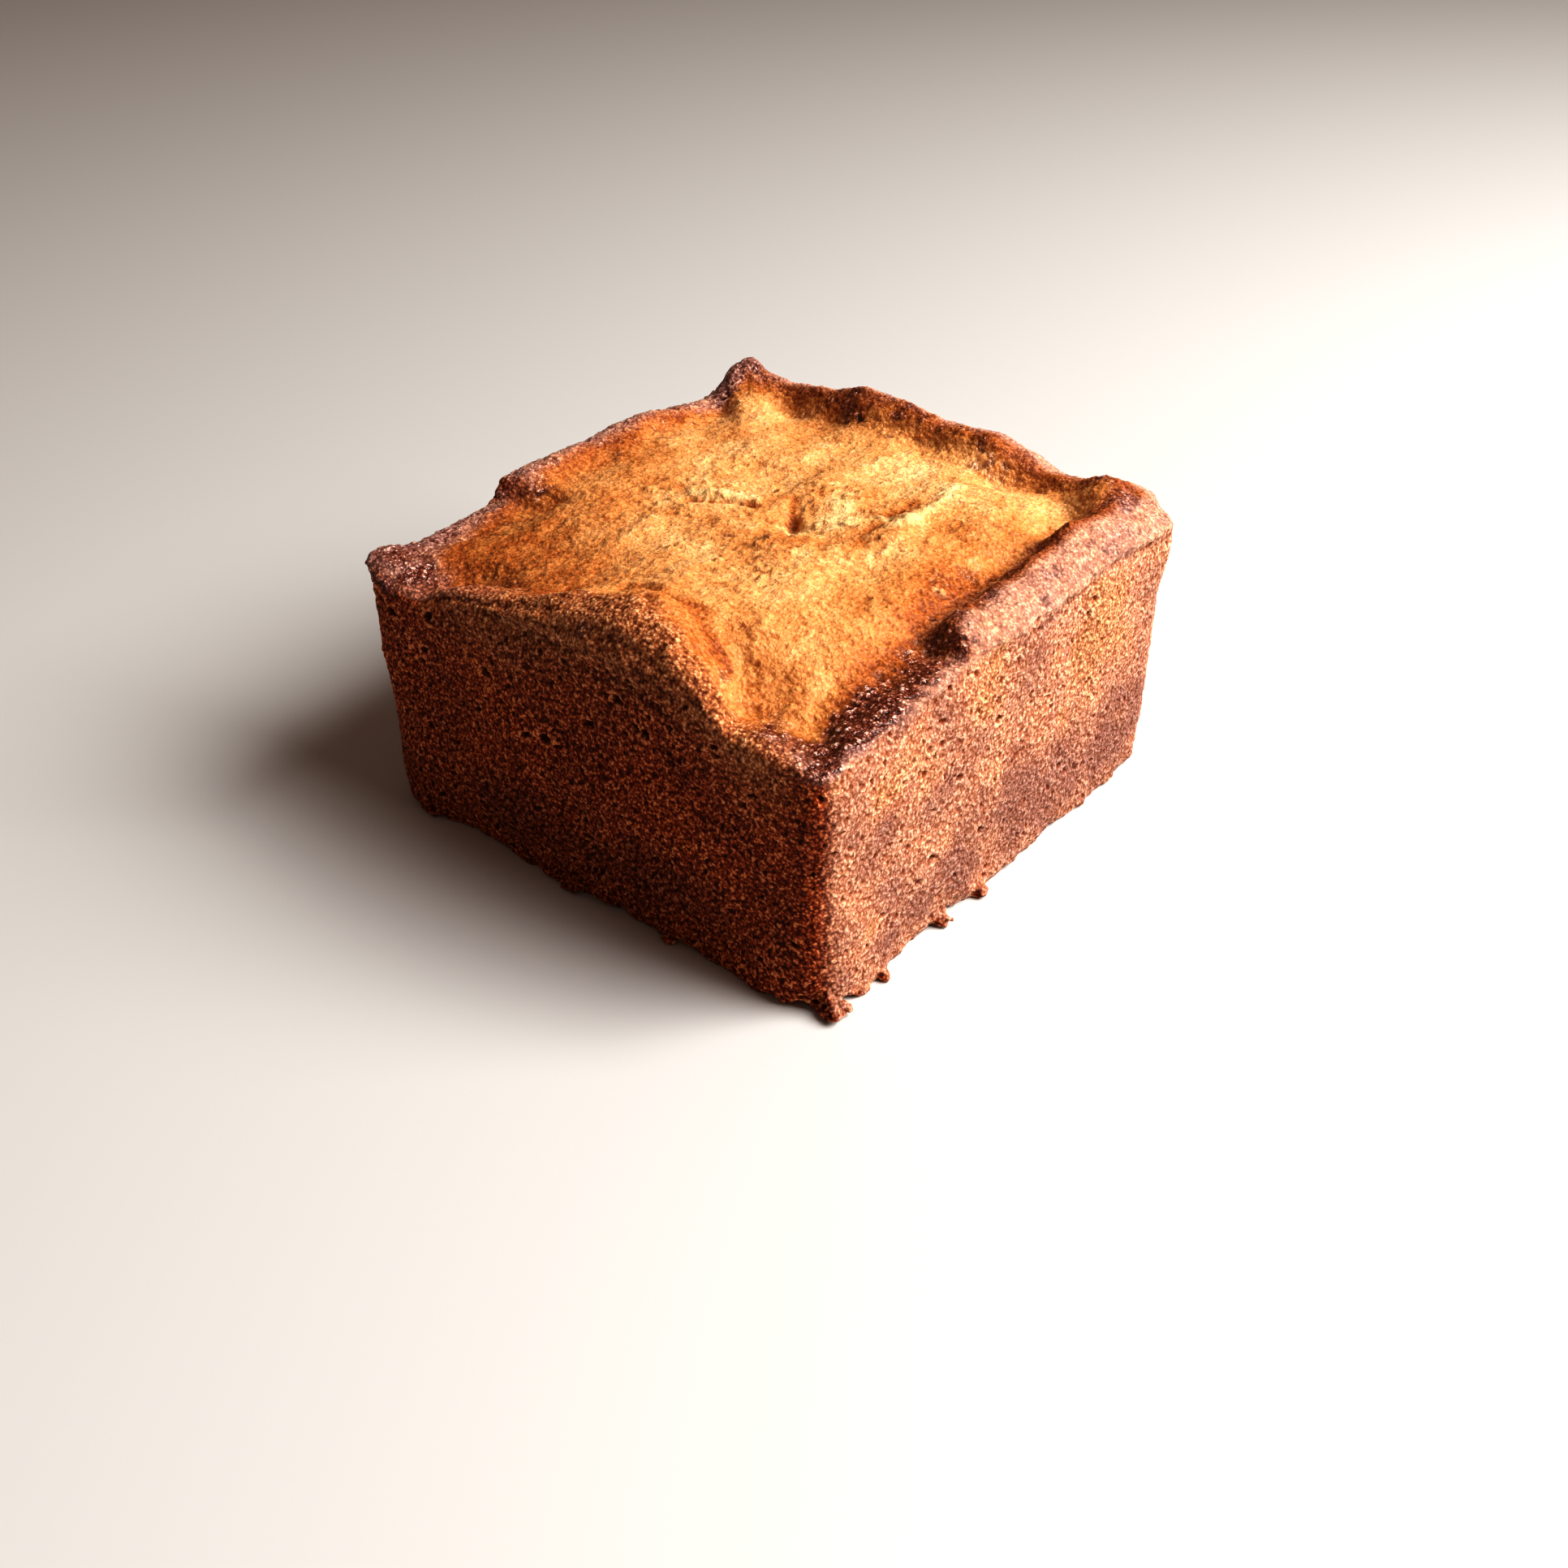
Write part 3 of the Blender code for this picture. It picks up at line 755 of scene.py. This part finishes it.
# %% Raise the rim's lumps, blisters and folds
FOLDS = (  # two turns, how far below the crest at each, half the fold's width and its depth, in mm
    (0.13, 0.5, 1.3, 0.6, 0.6, 0.42),
    (0.01, 0.11, 1.0, 3.2, 0.35, -0.5),
    (0.3, 0.86, 2.6, 3.8, 0.7, 0.18),
    (0.36, 0.8, 5.4, 6.8, 0.8, 0.18),
    (0.45, 0.75, 8.4, 9.8, 0.8, 0.14),
    (1.4, 2.0, 2.6, 2.6, 0.6, 0.15),
    (1.4, 2.02, 5.6, 5.6, 0.5, 0.15),
    (2.2, 2.9, 3.0, 3.0, 0.5, 0.3),
    (3.1, 3.9, 2.6, 2.6, 0.5, 0.3),
)
FOLD_FADE = 0.05
FOLD_SWAY = ((9.0, 0.6, 64), (2.5, 0.25, 65))
RIM_LUMPS = ((4.5, 0.4, 62), (1.9, 0.22, 63))
BLISTERS, BLISTER_HEIGHT, BLISTERS_SUNK = (1.35 * MM, 0.56, 61), 0.5, 0.16
GLAZE_BLISTERS = 0.6  # how much of them a glazed place has


def hill(values, middle, half_width):
    """1 where the values are this, falling to 0 on both sides."""
    return np.exp(-(((values - middle) / half_width) ** 2))


def between(turn, start, end, fade_in, fade_out):
    """1 from one turn to another, fading in after the first and out before the second."""
    return smooth_step((turn - start) / fade_in) * smooth_step((end - turn) / fade_out)


blisters = grains(crooked, *BLISTERS)
relief += rim * layered(points, RIM_LUMPS) * MM
relief += np.maximum(burnt, GLAZE_BLISTERS * glazed) * (BLISTER_HEIGHT * blisters - BLISTERS_SUNK) * MM
outside = smooth_step(-past_crest / (1.0 * MM) + 0.6)
fold_sway = layered(points, FOLD_SWAY) * MM
folded = np.zeros(len(points))
for start, end, start_below, end_below, half_width, depth in FOLDS:
    fold_below = np.interp(turn, (start, end), (start_below, end_below)) * MM
    fold = hill(below_crest + fold_sway, fold_below, half_width * MM)
    fold *= between(turn, start, end, FOLD_FADE, FOLD_FADE) * outside
    relief -= depth * fold * MM
    folded = np.maximum(folded, fold)
    # a deep fold also gets painted shade in it, the shadow under the lip
    pit = np.maximum(pit, smooth_step(2.0 * depth - 0.4) * fold)  # a deep fold is partly dark
print("points in folds:", (folded > 0.5).sum())

# %% [markdown]
# The golden top has slow swells. Round the middle its skin broke, and the moist crumb under it shows in
# patches of coarser grains.

# %% Break the golden top open
TOP_SWELLS = ((6.0, 0.22, 68), (2.6, 0.12, 69))
OPEN_PATCHES = ((7.0, 0.9, 66), (2.6, 0.6, 67))
OPEN_MIDDLE, OPEN_REACH = (6.0 * MM, 3.0 * MM), 25.0 * MM
OPEN_GRAINS, OPEN_HEIGHT, OPEN_SUNK = (1.7 * MM, 0.62, 70), 0.4, 0.12


def far_from(points, x, y):
    """How far each point lies from a place on the top, seen from above."""
    return np.hypot(points[:, 0] - x, points[:, 1] - y)


open_crumb = smooth_step(0.45 + layered(points, OPEN_PATCHES))
open_crumb *= golden * hill(far_from(points, *OPEN_MIDDLE), 0.0, OPEN_REACH)
relief += golden * layered(points, TOP_SWELLS) * MM
relief += open_crumb * (OPEN_HEIGHT * grains(crooked, *OPEN_GRAINS) - OPEN_SUNK) * MM
print("open crumb points:", (open_crumb > 0.4).sum())

# %% [markdown]
# Some marks on the top are too plain to leave to chance: a lip that curled over a slit, a small bowl, a
# star of cracks, two low ridges, and the trough behind the front left crest, which is filled up a
# little and grooved. Each is a stroke, a line with a width, raised or pressed in. A lip is a pressed
# stroke with a raised one beside it. Narrow raised strokes broke the skin and show the paler crumb.

# %% Draw the marks on the top
NARROW = 2.0
STROKES = (  # from x, y to x, y, half its width and how far it stands up, in mm
    (-14.8, -3.2, -5.2, 0.6, 0.9, -0.7),
    (-15.4, -1.4, -6.2, 2.2, 1.1, 0.4),
    (16.6, 25.5, 18.7, 8.6, 1.3, 0.45),
    (18.7, 8.6, 15.3, -5.9, 1.2, 0.4),
    (2.0, 0.9, 7.0, -2.3, 1.2, -0.8),
    (2.0, 0.9, -1.5, 6.0, 0.9, -0.5),
    (5.5, -1.4, 6.5, -6.5, 0.8, -0.5),
    (14.5, 15.0, 16.8, -2.0, 1.4, -0.4),
    (0.5, -32.5, 13.5, -33.0, 1.5, -0.6),
    (12.0, -33.0, 22.0, -37.5, 1.2, -0.3),
    (13.0, -32.5, 25.5, -38.0, 3.4, 1.05),
)


def stroke(points, start, end, half_width):
    """1 along a line across the top, falling to 0 beside it."""
    start, end = np.array(start) * MM, np.array(end) * MM
    along = end - start
    share = np.clip((points[:, :2] - start) @ along / (along @ along), 0.0, 1.0)
    away = np.linalg.norm(points[:, :2] - start - share[:, None] * along, axis=1)
    return hill(away, 0.0, half_width * MM)


bent = wobble(points, 4.0 * MM, 0.9 * MM, 71)
pressed, raised = np.zeros(len(points)), np.zeros(len(points))
for start_x, start_y, end_x, end_y, half_width, rise in STROKES:
    mark = golden * stroke(bent, (start_x, start_y), (end_x, end_y), half_width)
    relief += rise * MM * mark
    pressed += mark * (rise < 0.0)
    raised += mark * (rise > 0.0) * (half_width < NARROW)
print("points pressed in:", (pressed > 0.5).sum())

# %% [markdown]
# Now the points move: along their normals for the relief, and level along the base for the ragged
# edge. Every point also gets a small move of its own, as fine as the mesh allows. The base stays flat,
# since the cake stands on it.

# %% Move the points
RAGGED_HEIGHT, RAGGED_SWELLS = 2.2 * MM, ((2.6, 0.5, 82), (1.2, 0.35, 83))
GRIT = 0.028 * MM


def unit(vectors):
    return vectors / np.maximum(np.linalg.norm(vectors, axis=1), TINY)[:, None]


normals = unit(neighbour_mean(skin, normals_of(skin), 2))
outward = unit(points * (1.0, 1.0, 0.0))
relief += GRIT * np.random.default_rng(81).normal(size=len(points))
ragged = layered(points, RAGGED_SWELLS) * MM * hill(points[:, 2], 0.0, RAGGED_HEIGHT)

on_base = points[:, 2] < ON_BASE
moved = points + normals * (relief * ~on_base)[:, None] + outward * ragged[:, None]
moved[:, 2] = np.maximum(moved[:, 2], 0.0)
moved[on_base, 2] = 0.0
move_points(skin, moved)
print("relief, mm:", round(relief.min() / MM, 2), "to", round(relief.max() / MM, 2))

# %% [markdown]
# The colours follow the baking. The top is browner near the crust and in the marks pressed into it, and
# the open crumb stays pale. `toast` says how brown the golden top is, and `bake` how brown the walls
# are. Some places are told apart in two tables.

# %% Brown the top and the walls
TOAST_PATCHES = ((8.0, 0.2, 91), (3.0, 0.2, 92))
TOASTED_IN = 4.5 * MM  # how far in from the crust the edge of the top is browner
BY_BURNT_IN = 6.0 * MM  # the same beside the burnt strip
TOASTED = (  # x and y, how wide, in mm, and how much browner the top is there
    (-30.0, -30.0, 16.0, 0.3),
    (16.0, 8.0, 9.0, 0.2),
    (20.0, -38.0, 6.0, 0.3),
)
PALER_OVER = 35.0 * MM  # the back half gets paler over this length, up to its edge
BACK_EDGE, BACK_FADE = 36.0 * MM, 5.0 * MM  # where the brown edge at the back starts, and how softly
BAKE_PATCHES, BAND_PATCHES = ((9.0, 0.2, 93), (3.5, 0.2, 94)), ((11.0, 0.3, 95),)
LOW_BAND, LOW_BAND_HALF = 9.0 * MM, 8.0 * MM  # how high a browner band lies, and half its width
STAINS = (  # x, y and z, how wide, in mm, and how much paler (-) or browner (+) the wall is there
    (46.0, -5.7, 21.2, 3.0, -0.45),
    (46.0, 12.9, 20.5, 2.0, -0.4),
    (46.0, -34.6, 10.5, 2.2, -0.4),
    (46.0, -32.0, 33.0, 6.0, -0.3),
    (46.0, -10.9, 37.6, 5.0, -0.4),
    (46.0, 20.0, 33.0, 8.0, -0.4),
    (46.0, -19.6, 25.4, 4.0, 0.25),
    (46.0, -31.5, 26.6, 3.0, 0.2),
    (46.0, -14.4, 8.4, 4.0, 0.25),
    (46.0, 1.3, 14.9, 4.0, 0.25),
    (46.0, -32.8, 5.2, 3.0, 0.25),
    (46.0, 30.0, 15.0, 6.0, 0.2),
    (46.0, -28.0, 39.5, 2.5, 0.3),
)

inside_crust = np.clip(from_crest - crust_reach, 0.0, None)
mild_rim = between(turn, 0.35, 0.9, 0.15, 0.1)
by_burnt = between(turn, 1.0, 1.6, 0.15, 0.15)
toast = 0.42 + layered(points, TOAST_PATCHES)
toast += (0.6 - 0.5 * mild_rim) * np.exp(-inside_crust / TOASTED_IN)
toast += 0.35 * by_burnt * hill(inside_crust, 0.0, BY_BURNT_IN)
toast += 0.4 * np.clip(pressed, 0.0, 1.0) - 0.15 * open_crumb
toast += 0.4 * smooth_step((points[:, 1] - BACK_EDGE) / BACK_FADE)
toast -= 0.2 * smooth_step(points[:, 1] / PALER_OVER)
for x, y, wide, change in TOASTED:
    toast += change * hill(far_from(points, x * MM, y * MM), 0.0, wide * MM)

low_band = hill(points[:, 2], LOW_BAND, LOW_BAND_HALF)
bake = 0.5 + layered(points, BAKE_PATCHES) + 0.2 * folded
bake += (0.34 + layered(points, BAND_PATCHES)) * low_band
for x, y, z, wide, change in STAINS:
    away = np.linalg.norm(bent - np.array((x, y, z)) * MM, axis=1)
    bake += change * hill(away, 0.0, wide * MM)
print("mean toast and bake:", round(toast.mean(), 3), round(bake.mean(), 3))

# %% [markdown]
# The shares are kept on the points, so that the material can use them. A share is a plain number from
# 0 to 1. `grain` says how far a place stands over its surroundings, which lets the colour agree with
# the relief: painted shade in the low places and painted light on the high ones. `shade` marks painted
# shade: the front left wall, which stood in the shade, and whatever faces the same way get darker,
# redder colours. `shoulder` is the roll of crumb under that wall's crest, where the painted shade gives
# way to a lighter brown, partly painted light where it faced up into the window. `inside` is painted
# shade on the inner side of the rim, strongest on the two right sides, whose inner faces turn from the
# window.

# %% Keep the shares on the points
SHOULDER_DROP = 8.0 * MM  # how far down the shoulder fades out
GRAIN_SPAN = 0.3 * MM  # the height from the hollows that count as 0 to the tops that count as 1

front_left = between(turn, 0.02, 1.0, 0.1, 0.1)
# the two right sides, whose rims' inner faces turn from the window and get the most painted shade
shaded_inner_sides = between(turn, 0.9, 3.1, 0.2, 0.2)
shade = np.maximum(smooth_step(-normals[:, 1] * 1.6 - 0.35), 0.6 * front_left)
shoulder = between(turn, 0.1, 1.0, 0.3, 0.15) * hill(np.clip(below_crest, 0.0, None), 0.0, SHOULDER_DROP)
standing_out = relief - neighbour_mean(skin, relief, 4)
shares = {
    "golden": golden,
    "rim": rim,
    "burnt": burnt,
    "glazed": glazed,
    "pit": pit,
    "toast": np.clip(toast, 0.0, 1.0),
    "bake": np.clip(bake, 0.0, 1.0),
    "inside": smooth_step(past_crest / (2.0 * MM) + 0.3) * (0.3 + 0.7 * shaded_inner_sides),
    "shoulder": shoulder,
    "shade": shade * (1.0 - golden),
    "grain": np.clip(0.5 + standing_out / GRAIN_SPAN, 0.0, 1.0),
    "open": np.clip(open_crumb + 0.6 * raised, 0.0, 1.0),
}


def keep_shares(mesh, shares):
    for name, share in shares.items():
        kept = mesh.attributes.new(name, "FLOAT", "POINT")
        kept.data.foreach_set("value", share.astype(np.float32))


print("shares kept:", {name: round(float(share.mean()), 3) for name, share in shares.items()})

# %% [markdown]
# Up close the crumb is finer still than the mesh, so a noise and a pattern of round cells take the
# colour and the bump on from there. Together with the mesh's own grains they make one share, `light`,
# which is 0 in the hollows between grains and 1 on their tops. The colours follow it, so besides the
# crumb's own uneven tone it carries painted shade in the hollows and painted light on the tops.

# %% Tell the tops of the grains from the hollows
LUMP_SIZE, SPECK_SIZE, MOTTLE_SIZE = 0.62 * MM, 0.5 * MM, 2.2 * MM
SPECKS_CROOKED = 0.7

finish = Finish("baked_crumb")
lumps = finish.noise(LUMP_SIZE)
specks = 1.0 - finish.cells(SPECK_SIZE, SPECKS_CROOKED)
mottle = finish.noise(MOTTLE_SIZE)
# light: the crumb's uneven tone, plus painted shade in the hollows and painted light on the grain tops
light = (finish.painted("grain") * 0.7 + (lumps - 0.5) * 1.1 + (specks - 0.5) * 0.85 + 0.23).clamped()

# %% [markdown]
# Each skin is a ramp from its hollow colour to its top colour. Crumb lets light through, so its hollows
# are not black but a deeper orange, save on the wall that stood in the shade. That wall gets painted
# shade: a second ramp in darker, redder colours. The baking tints both walls, a little yellow where it
# is least and brown where it is most.

# %% Colour the walls
# the pits get painted shade: a dark colour, deeper still on the shaded wall
PIT_SHADE_IN_LIGHT, PIT_SHADE_IN_SHADE = (0.26, 0.06, 0.014, 1.0), (0.07, 0.01, 0.003, 1.0)

pit_shade_share, in_shade = finish.painted("pit"), finish.painted("shade")
on_shoulder = finish.painted("shoulder")
lit_wall = finish.ramp(
    light,
    (0.0, (0.20, 0.05, 0.012)),
    (0.35, (0.36, 0.16, 0.082)),
    (0.65, (0.52, 0.295, 0.19)),
    (1.0, (0.84, 0.61, 0.43)),
)
bake_tint = finish.ramp(
    finish.painted("bake") + (mottle - 0.5) * 0.5,
    (0.1, (1.0, 0.92, 0.77)),
    (0.45, (1.0, 0.92, 0.94)),
    (0.95, (0.60, 0.53, 0.62)),
)
lit_wall = finish.blend(1.0, lit_wall, bake_tint, "MULTIPLY")
# painted shade: the wall ramp again in darker, redder colours, for the wall that faced away from the window
shaded_wall = finish.ramp(
    light,
    (0.15, (0.05, 0.005, 0.001)),
    (0.45, (0.185, 0.023, 0.002)),
    (0.7, (0.45, 0.105, 0.022)),
    (1.0, (0.84, 0.41, 0.17)),
)
shaded_wall = finish.blend(1.0, shaded_wall, bake_tint, "MULTIPLY")
crumb_colour = finish.blend(in_shade, lit_wall, shaded_wall)
# a lighter brown for the roll under the shaded wall's crest, partly painted light where it faced up into
# the window
shoulder_colour = finish.ramp(
    light,
    (0.15, (0.15, 0.036, 0.009)),
    (0.45, (0.36, 0.135, 0.048)),
    (0.75, (0.57, 0.28, 0.125)),
    (1.0, (0.84, 0.55, 0.33)),
)
crumb_colour = finish.blend(on_shoulder * 0.9, crumb_colour, shoulder_colour)
painted_pit_shade = finish.blend(in_shade, PIT_SHADE_IN_LIGHT, PIT_SHADE_IN_SHADE)
wall_colour = finish.blend(pit_shade_share * 0.85, crumb_colour, painted_pit_shade)

# %% [markdown]
# The top goes from pale gold to deep brown as it toasted, and a hollow in it is painted a little
# browner than a grain, as painted shade. Where the skin broke, the pale crumb shows in mottled patches.

# %% Colour the golden top
OPEN_CRUMB = (0.86, 0.68, 0.38, 1.0)

# the toast, plus painted shade: a hollow is painted browner than a grain top
toast_and_shade_share = finish.painted("toast") * 0.8 + (mottle - 0.5) * 0.25 + (0.5 - light) * 0.4 + 0.09
top_colour = finish.ramp(
    toast_and_shade_share,
    (0.0, (0.84, 0.58, 0.32)),
    (0.3, (0.70, 0.385, 0.16)),
    (0.55, (0.57, 0.265, 0.088)),
    (0.8, (0.40, 0.135, 0.028)),
    (1.0, (0.24, 0.062, 0.012)),
)
pale_share = finish.painted("open") * 1.1 + (mottle - 0.5) * 1.8 + (lumps - 0.5) * 1.2 - 0.4
top_colour = finish.blend(pale_share.clamped(), top_colour, OPEN_CRUMB)

# %% [markdown]
# The rim is crumb with a painted sheen, a pale pinkish grey, where it was in the light, and painted
# shade on its inner side. Glaze goes over the rim, its pale end partly a painted sheen, and the burnt
# crust over everything, its palest grain tops a painted highlight.

# %% Colour the rim and put the skins together
# painted sheen: a pale pinkish grey mixed into the rim where it faces the light
PAINTED_SHEEN = (0.62, 0.42, 0.36, 1.0)

on_golden, on_rim = finish.painted("golden"), finish.painted("rim")
is_burnt, is_glazed = finish.painted("burnt"), finish.painted("glazed")
in_light = (1.0 - in_shade) * (1.0 - on_shoulder)
rim_colour = finish.blend(in_light * 0.3, crumb_colour, PAINTED_SHEEN)
# painted shade on the rim's inner side
painted_shade_inner_colour = finish.ramp(light, (0.2, (0.14, 0.03, 0.006)), (0.8, (0.42, 0.15, 0.05)))
rim_colour = finish.blend(finish.painted("inside"), rim_colour, painted_shade_inner_colour)
# the glaze's own purplish brown, with a painted sheen at its pale end
glaze_and_sheen_colour = finish.ramp(
    light,
    (0.2, (0.11, 0.032, 0.026)),
    (0.6, (0.30, 0.15, 0.13)),
    (0.88, (0.46, 0.29, 0.26)),
    (1.0, (0.68, 0.53, 0.50)),
)
rim_colour = finish.blend(is_glazed * 0.8, rim_colour, glaze_and_sheen_colour)
# the palest stop is a painted highlight on the burnt crust's grain tops
burnt_colour = finish.ramp(
    light,
    (0.2, (0.06, 0.009, 0.003)),
    (0.6, (0.17, 0.036, 0.013)),
    (0.88, (0.36, 0.14, 0.085)),
    (1.0, (0.78, 0.60, 0.54)),
)
colour = finish.blend(on_rim, wall_colour, rim_colour)
colour = finish.blend(on_golden, colour, top_colour)
colour = finish.blend(is_burnt, colour, burnt_colour)

# %% [markdown]
# Crumb is matte and lets a little light in, redder the deeper it goes. Sugar that melted and set is
# smooth and shines, most of all where the rim burnt. Both are bumped by the same two fine patterns.

# %% Give it shine and bump
BUMP_HEIGHT = 0.3 * MM

height = lumps + specks * (0.65 - on_golden * 0.25)
bump_inputs = {"Strength": 1.0, "Distance": BUMP_HEIGHT, "Height": height}
bump = finish.node("ShaderNodeBump", {}, bump_inputs)
matte_crumb = {
    "Base Color": colour,
    "Roughness": 0.8,
    "Specular IOR Level": 0.2,
    "Subsurface Weight": 0.6,
    "Subsurface Radius": (1.0, 0.5, 0.25),
    "Subsurface Scale": 0.8 * MM,
    "Normal": bump,
}
sugar_crust = {"Base Color": colour, "Roughness": 0.22, "Specular IOR Level": 0.9, "Normal": bump}
gloss = (is_burnt * 0.9 + is_glazed * 0.35 + on_golden * 0.22).clamped()
cake_finish = finish.surface(matte_crumb, sugar_crust, gloss)

# %% [markdown]
# One mesh of nearly half a million triangles is heavy to handle, and the parts of a cake bake
# differently, so the skin is cut into three pieces: the top with its rim, the two front walls and the
# two back ones. They share their points along the cuts, and each keeps the whole skin's normals, so
# that no seam shows.

# %% Cut the skin into three pieces
def corners_of(mesh):
    """The point at every corner of every face, and where each face's corners start and how many it has."""
    corners = np.empty(len(mesh.loops), int)
    mesh.loops.foreach_get("vertex_index", corners)
    starts, counts = np.empty(len(mesh.polygons), int), np.empty(len(mesh.polygons), int)
    mesh.polygons.foreach_get("loop_start", starts)
    mesh.polygons.foreach_get("loop_total", counts)
    return corners, starts, counts


def cut_piece(name, mesh, chosen, shares):
    """A new object of the chosen faces of a mesh."""
    corners, starts, counts = corners_of(mesh)
    kept_corners = corners[np.repeat(chosen, counts)]
    used, renumbered = np.unique(kept_corners, return_inverse=True)
    faces = np.split(renumbered, np.cumsum(counts[chosen])[:-1])
    piece = bpy.data.meshes.new(name)
    piece.from_pydata(points_of(mesh)[used], [], [face.tolist() for face in faces])
    piece.shade_smooth()
    corner_normals = normals_of(mesh)[kept_corners]
    underneath = np.repeat(counts[chosen] > 4, counts[chosen])  # the one big face is flat
    corner_normals[underneath] = (0.0, 0.0, -1.0)
    piece.normals_split_custom_set(corner_normals)
    keep_shares(piece, {key: share[used] for key, share in shares.items()})
    piece.materials.append(cake_finish)
    placed = bpy.data.objects.new(name, piece)
    bpy.context.scene.collection.objects.link(placed)
    print(name, "triangles:", int((counts[chosen] - 2).sum()))
    return placed


corners, starts, counts = corners_of(skin)
on_top = np.minimum.reduceat((1.0 - wall)[corners], starts) > 0.5
in_front = np.mod(np.maximum.reduceat(turn[corners], starts), 4.0) < 2.0
pieces = [
    cut_piece("cake_top", skin, on_top, shares),
    cut_piece("front_walls", skin, ~on_top & in_front, shares),
    cut_piece("back_walls", skin, ~on_top & ~in_front, shares),
]

# %% [markdown]
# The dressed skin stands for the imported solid, rides with it and takes its place in the picture.

# %% Put the skin in place of the solid
for piece in pieces:
    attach(piece, "root")
    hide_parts("cake")
